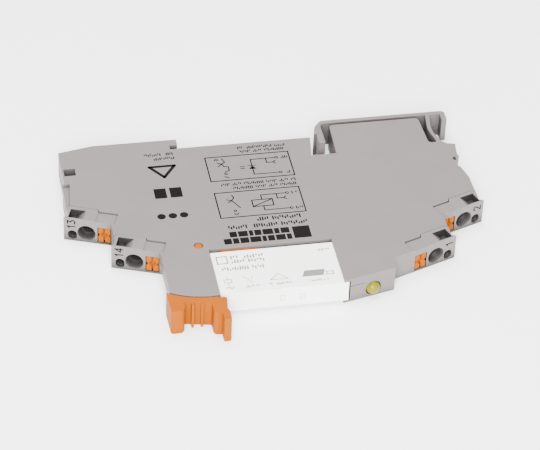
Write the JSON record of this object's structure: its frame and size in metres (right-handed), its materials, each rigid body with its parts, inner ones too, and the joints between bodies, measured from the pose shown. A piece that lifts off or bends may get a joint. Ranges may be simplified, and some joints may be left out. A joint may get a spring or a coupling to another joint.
{
  "type": "industrial control relay",
  "caption": "Slim plug-in interface relay module for a top-hat rail, with stepped push-in terminals, release buttons, an ejector lever, a status light and a sprung rail foot.",
  "frame": {"origin": "centre of the rail seat, at mid thickness", "axes": "+X along the module's height, along the rail's width, towards the latched foot; +Y out of the rail seat towards the rail and cabinet wall; +Z through the narrow width, out of the printed side face"},
  "size_m": [0.0931, 0.0658, 0.0062],
  "materials": {
    "housing_plastic": "fine matt moulded",
    "terminal_plastic": "fine matt moulded",
    "orange_plastic": "satin moulded",
    "spring_steel": "bright rolled",
    "contact_brass": "stamped",
    "board_laminate": "solder mask",
    "component_black": "moulded",
    "led_package": "moulded",
    "lens_plastic": "clear tinted",
    "relay_white": "satin moulded",
    "tinned_pin": "tinned",
    "bobbin_plastic": "moulded",
    "copper_winding": "enamelled wire",
    "soft_iron": "nickel flashed"
  },
  "bodies": {
    "housing": {"housing_shell": "housing_plastic", "housing_cover": "housing_plastic", "latch_spring": "housing_plastic", "terminal_block_13": "terminal_plastic", "terminal_block_14": "terminal_plastic", "terminal_block_a1": "terminal_plastic", "terminal_block_a2": "terminal_plastic", "clamp_spring_13": "spring_steel", "clamp_spring_14": "spring_steel", "clamp_spring_a1": "spring_steel", "clamp_spring_a2": "spring_steel", "current_bar_13": "contact_brass", "current_bar_14": "contact_brass", "current_bar_a1": "contact_brass", "current_bar_a2": "contact_brass", "coil_contact_plus": "contact_brass", "coil_contact_minus": "contact_brass", "circuit_board": "board_laminate", "bridge_rectifier": "component_black", "series_resistor": "component_black", "suppressor_diode": "component_black", "status_led": "led_package", "indicator_lens": "lens_plastic"},
    "rail_latch": {"rail_latch": "housing_plastic"},
    "ejector_lever": {"ejector_lever": "orange_plastic"},
    "button_13": {"release_button_13": "orange_plastic"},
    "button_14": {"release_button_14": "orange_plastic"},
    "button_a1": {"release_button_a1": "orange_plastic"},
    "button_a2": {"release_button_a2": "orange_plastic"},
    "relay": {"relay_cover": "relay_white", "relay_base": "relay_white", "relay_pins": "tinned_pin", "relay_bobbin": "bobbin_plastic", "relay_winding": "copper_winding", "relay_core": "soft_iron", "relay_yoke": "soft_iron", "relay_armature": "soft_iron", "relay_pusher": "relay_white", "relay_contact_blade": "contact_brass", "relay_fixed_contacts": "contact_brass"}
  },
  "joints": [
    {"name": "latch_slide", "type": "slide", "parent": "housing", "child": "rail_latch", "axis": [1, 0, 0], "range_m": [0, 0.0015], "stiffness_N_per_m": 4000},
    {"name": "ejector_hinge", "type": "hinge", "parent": "housing", "child": "ejector_lever", "pos_m": [-0.0168, -0.0351, 0], "axis": [0, 0, -1], "range_deg": [0, 40]},
    {"name": "relay_slide", "type": "slide", "parent": "housing", "child": "relay", "axis": [0, -1, 0], "range_m": [0, 0.009]},
    {"name": "button_13_slide", "type": "slide", "parent": "housing", "child": "button_13", "axis": [0.342, 0.9397, 0], "range_m": [0, 0.001], "stiffness_N_per_m": 1000},
    {"name": "button_14_slide", "type": "slide", "parent": "housing", "child": "button_14", "axis": [0.342, 0.9397, 0], "range_m": [0, 0.001], "stiffness_N_per_m": 1000},
    {"name": "button_a1_slide", "type": "slide", "parent": "housing", "child": "button_a1", "axis": [-0.342, 0.9397, 0], "range_m": [0, 0.001], "stiffness_N_per_m": 1000},
    {"name": "button_a2_slide", "type": "slide", "parent": "housing", "child": "button_a2", "axis": [-0.342, 0.9397, 0], "range_m": [0, 0.001], "stiffness_N_per_m": 1000}
  ],
  "couplings": [
    {"joint": "ejector_hinge", "follows": "relay_slide", "rad_per_m": 77.5}
  ]
}
